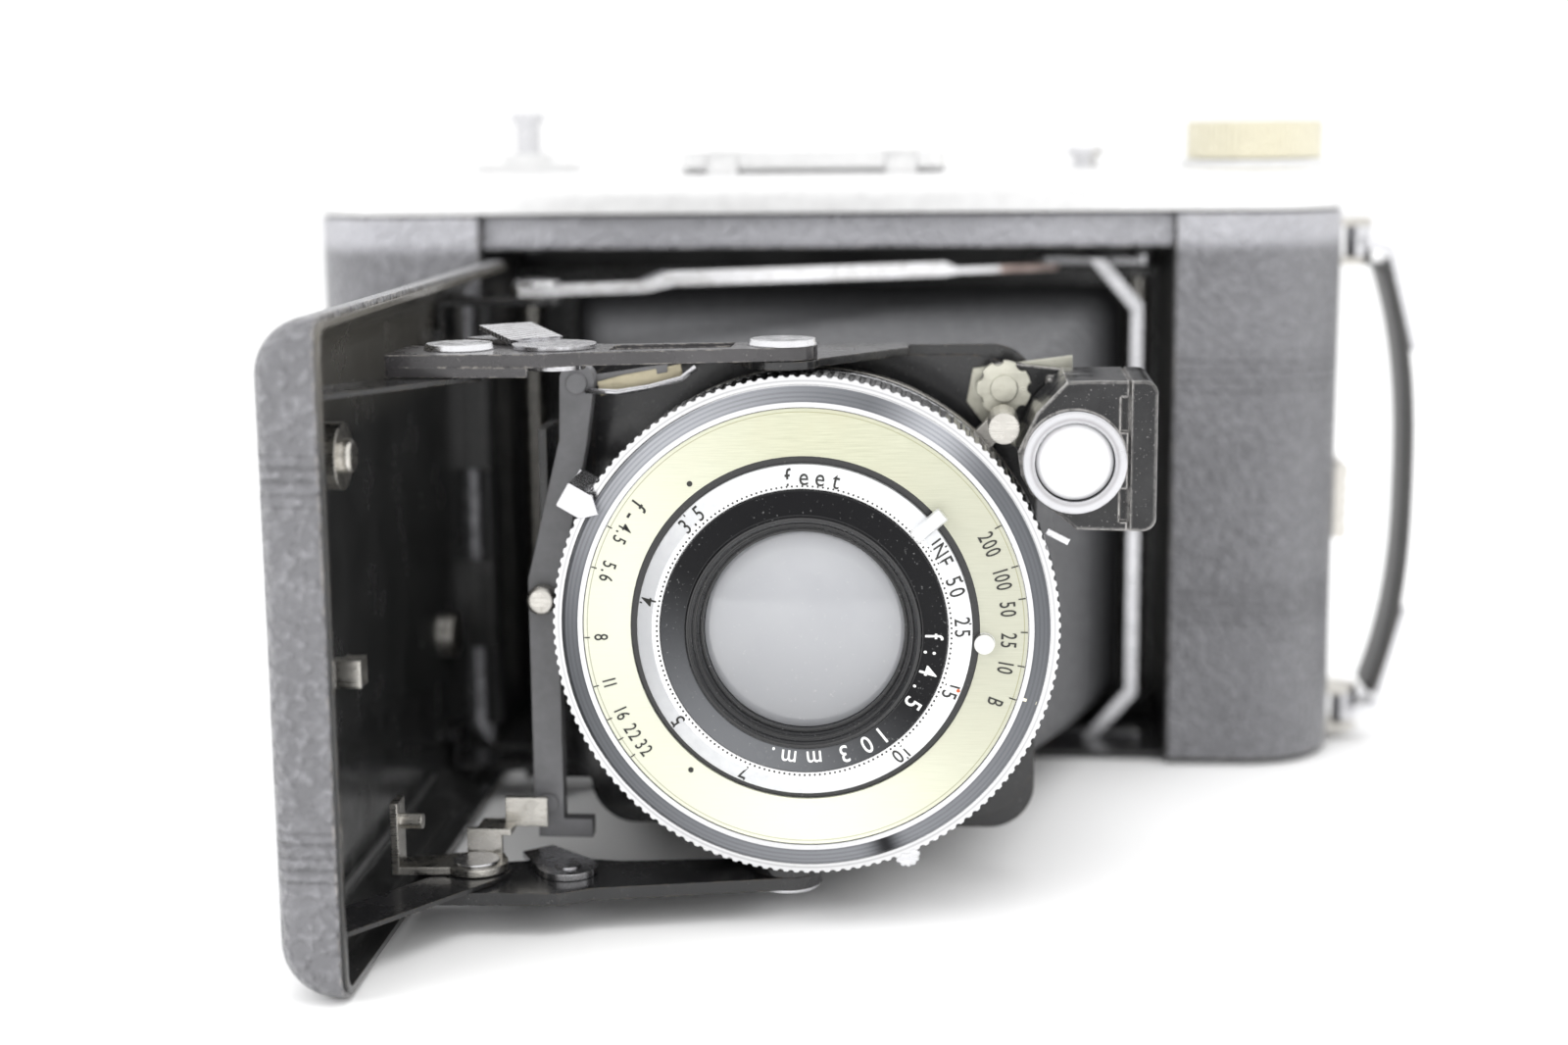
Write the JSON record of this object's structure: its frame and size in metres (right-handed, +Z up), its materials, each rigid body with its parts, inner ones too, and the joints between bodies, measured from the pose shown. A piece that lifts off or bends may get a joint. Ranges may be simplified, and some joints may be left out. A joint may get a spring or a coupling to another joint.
{
  "type": "folding roll-film camera",
  "caption": "Self-erecting folding roll-film camera with its bed open: leather-covered body, bellows, leaf shutter with scale-focus lens, reflex finder and folding top finder.",
  "frame": {"origin": "underside of the body, below the lens axis and at the middle of the body's depth", "axes": "+X to the camera's left hand end seen from the subject (winding knob end), +Y from the lens to the film, +Z up"},
  "size_m": [0.1736, 0.1426, 0.1],
  "materials": {
    "black_leather": "pebble grained with embossed pin stripes",
    "strap_leather": "smooth black, slightly worn",
    "bellows_leather": "folded black bellows leather",
    "black_enamel": "glossy baked enamel",
    "black_shell": "semi-gloss black paint",
    "satin_silver": "fine satin",
    "nickel": "worn nickel plate",
    "polished_steel": "polished",
    "brass_knurl": "knurled, lightly tarnished",
    "rim_chrome": "knurled chrome",
    "dial_champagne": "brushed champagne with black engraving",
    "scale_silver": "satin with engraved scale",
    "lens_black": "black lacquer",
    "optical_glass": "coated lens glass",
    "ruby_glass": "ruby film window",
    "spool_steel": "black painted steel",
    "blade_steel": "blued steel"
  },
  "bodies": {
    "camera_body": {"body_shell": "black_shell", "body_covering": "black_leather", "film_gate": "black_enamel", "tripod_bush_base": "nickel", "top_plate": "satin_silver", "hinge_pins": "nickel", "spool_studs": "nickel", "release_collar": "satin_silver", "finder_base": "satin_silver", "handle_posts": "nickel", "bellows": "bellows_leather"},
    "back": {"back_door": "black_shell", "back_covering": "black_leather", "red_window": "ruby_glass", "window_frame": "black_enamel", "pressure_plate": "black_enamel"},
    "window_shutter": {"window_cover": "black_enamel"},
    "back_catch": {"back_latch": "nickel"},
    "left_roller": {"film_roller_left": "nickel"},
    "right_roller": {"film_roller_right": "nickel"},
    "supply": {"supply_spool": "spool_steel"},
    "winder": {"wind_knob": "brass_knurl", "takeup_spool": "spool_steel"},
    "body_release": {"release_plunger": "polished_steel"},
    "bed_release": {"bed_button": "polished_steel"},
    "finder_front": {"finder_front_frame": "satin_silver", "finder_front_lens": "optical_glass"},
    "finder_rear": {"finder_rear_frame": "satin_silver"},
    "handle": {"handle_clips": "nickel", "handle_strap": "strap_leather"},
    "bed": {"bed_pan": "black_enamel", "bed_covering": "black_leather", "tripod_bush_bed": "nickel", "bed_fittings": "nickel", "bed_brackets": "black_enamel"},
    "bed_lock": {"lock_lever": "nickel"},
    "links": {"link_top": "black_enamel", "link_bottom": "black_enamel", "link_rivets": "polished_steel"},
    "fold_release": {"release_levers": "polished_steel"},
    "stays": {"side_stays": "polished_steel"},
    "bail": {"bail": "polished_steel"},
    "standard": {"standard_frame": "black_enamel", "side_bar": "black_enamel", "side_button": "nickel", "shutter_case": "black_enamel", "face_plate": "dial_champagne", "rear_cell": "lens_black", "rear_glass": "optical_glass", "shutter_blades": "blade_steel", "finder_bracket": "nickel"},
    "shutter_speed": {"speed_ring": "rim_chrome"},
    "aperture": {"aperture_pointer": "polished_steel"},
    "cocking": {"cocking_lever": "polished_steel"},
    "shutter_trip": {"shutter_release_lever": "nickel"},
    "front_cell": {"focus_ring": "scale_silver", "lens_bezel": "lens_black", "front_glass": "optical_glass"},
    "reflex": {"reflex_finder": "black_enamel", "reflex_lens": "optical_glass"}
  },
  "joints": [
    {"name": "bed_fold", "type": "hinge", "parent": "camera_body", "child": "bed", "pos_m": [-0.054, -0.02, 0.039], "axis": [0, 0, 1], "range_deg": [0, 90], "deforming": ["bellows"]},
    {"name": "link_swing", "type": "hinge", "parent": "bed", "child": "links", "pos_m": [-0.0415, -0.092, 0.039], "axis": [0, 0, 1], "range_deg": [0, 90.1]},
    {"name": "standard_swing", "type": "hinge", "parent": "links", "child": "standard", "pos_m": [-0.00279, -0.08725, 0.039], "axis": [0, 0, 1], "range_deg": [-180.2, 0]},
    {"name": "stay_swing", "type": "hinge", "parent": "bed", "child": "stays", "pos_m": [-0.042, -0.038, 0.039], "axis": [0, 0, 1], "range_deg": [-104.73, 0]},
    {"name": "bail_swing", "type": "hinge", "parent": "camera_body", "child": "bail", "pos_m": [0.0465, -0.0065, 0.039], "axis": [0, 0, 1], "range_deg": [-62.63, 0]},
    {"name": "fold_release_press", "type": "hinge", "parent": "links", "child": "fold_release", "pos_m": [-0.0302, -0.0906, 0.039], "axis": [0, 0, 1], "range_deg": [0, 10]},
    {"name": "bed_lock_turn", "type": "hinge", "parent": "bed", "child": "bed_lock", "pos_m": [-0.0415, -0.092, 0.039], "axis": [0, 0, 1], "range_deg": [0, 10]},
    {"name": "back_open", "type": "hinge", "parent": "camera_body", "child": "back", "pos_m": [-0.0829, 0.012, 0.04], "axis": [0, 0, 1], "range_deg": [0, 100]},
    {"name": "back_catch_slide", "type": "slide", "parent": "camera_body", "child": "back_catch", "axis": [0, 0, 1], "range_m": [0, 0.003]},
    {"name": "window_cover_slide", "type": "slide", "parent": "back", "child": "window_shutter", "axis": [1, 0, 0], "range_m": [0, 0.01]},
    {"name": "left_roller_turn", "type": "hinge", "parent": "camera_body", "child": "left_roller", "pos_m": [-0.0518, 0.0092, 0.039], "axis": [0, 0, 1], "continuous": true},
    {"name": "right_roller_turn", "type": "hinge", "parent": "camera_body", "child": "right_roller", "pos_m": [0.047, 0.0092, 0.039], "axis": [0, 0, 1], "continuous": true},
    {"name": "supply_spool_turn", "type": "hinge", "parent": "camera_body", "child": "supply", "pos_m": [-0.0683, -0.0015, 0.039], "axis": [0, 0, 1], "continuous": true},
    {"name": "film_wind", "type": "hinge", "parent": "camera_body", "child": "winder", "pos_m": [0.0634, -0.0015, 0.09], "axis": [0, 0, 1], "continuous": true},
    {"name": "body_release_press", "type": "slide", "parent": "camera_body", "child": "body_release", "axis": [0, 0, 1], "range_m": [-0.003, 0]},
    {"name": "bed_button_press", "type": "slide", "parent": "camera_body", "child": "bed_release", "axis": [0, 0, 1], "range_m": [-0.0015, 0]},
    {"name": "finder_front_raise", "type": "hinge", "parent": "camera_body", "child": "finder_front", "pos_m": [-0.004, -0.014, 0.0921], "axis": [1, 0, 0], "range_deg": [0, 90]},
    {"name": "finder_rear_raise", "type": "hinge", "parent": "camera_body", "child": "finder_rear", "pos_m": [-0.004, 0.013, 0.0921], "axis": [-1, 0, 0], "range_deg": [0, 90]},
    {"name": "handle_swing", "type": "hinge", "parent": "camera_body", "child": "handle", "pos_m": [0.08, 0, 0.0405], "axis": [0, 0, 1], "range_deg": [-25, 25]},
    {"name": "speed_select", "type": "hinge", "parent": "standard", "child": "shutter_speed", "pos_m": [0, -0.0885, 0.0376], "axis": [0, -1, 0], "range_deg": [0, 56]},
    {"name": "aperture_select", "type": "hinge", "parent": "standard", "child": "aperture", "pos_m": [0, -0.0885, 0.0376], "axis": [0, -1, 0], "range_deg": [0, 66]},
    {"name": "shutter_cock", "type": "hinge", "parent": "standard", "child": "cocking", "pos_m": [0, -0.0885, 0.0376], "axis": [0, -1, 0], "range_deg": [0, 45]},
    {"name": "shutter_trip_press", "type": "hinge", "parent": "standard", "child": "shutter_trip", "pos_m": [0, -0.0885, 0.0376], "axis": [0, -1, 0], "range_deg": [0, 8]},
    {"name": "focus_turn", "type": "hinge", "parent": "standard", "child": "front_cell", "pos_m": [0, -0.0885, 0.0376], "axis": [0, -1, 0], "range_deg": [-36, 226]},
    {"name": "reflex_turn", "type": "hinge", "parent": "standard", "child": "reflex", "pos_m": [0.0241, -0.0785, 0.0647], "axis": [0, 1, 0], "range_deg": [-90, 0]}
  ],
  "couplings": [
    {"joint": "link_swing", "follows": "bed_fold", "ratio": 1},
    {"joint": "standard_swing", "follows": "bed_fold", "ratio": -2},
    {"joint": "stay_swing", "follows": "bed_fold", "ratio": -1.1614},
    {"joint": "bail_swing", "follows": "bed_fold", "ratio": -0.69362}
  ]
}
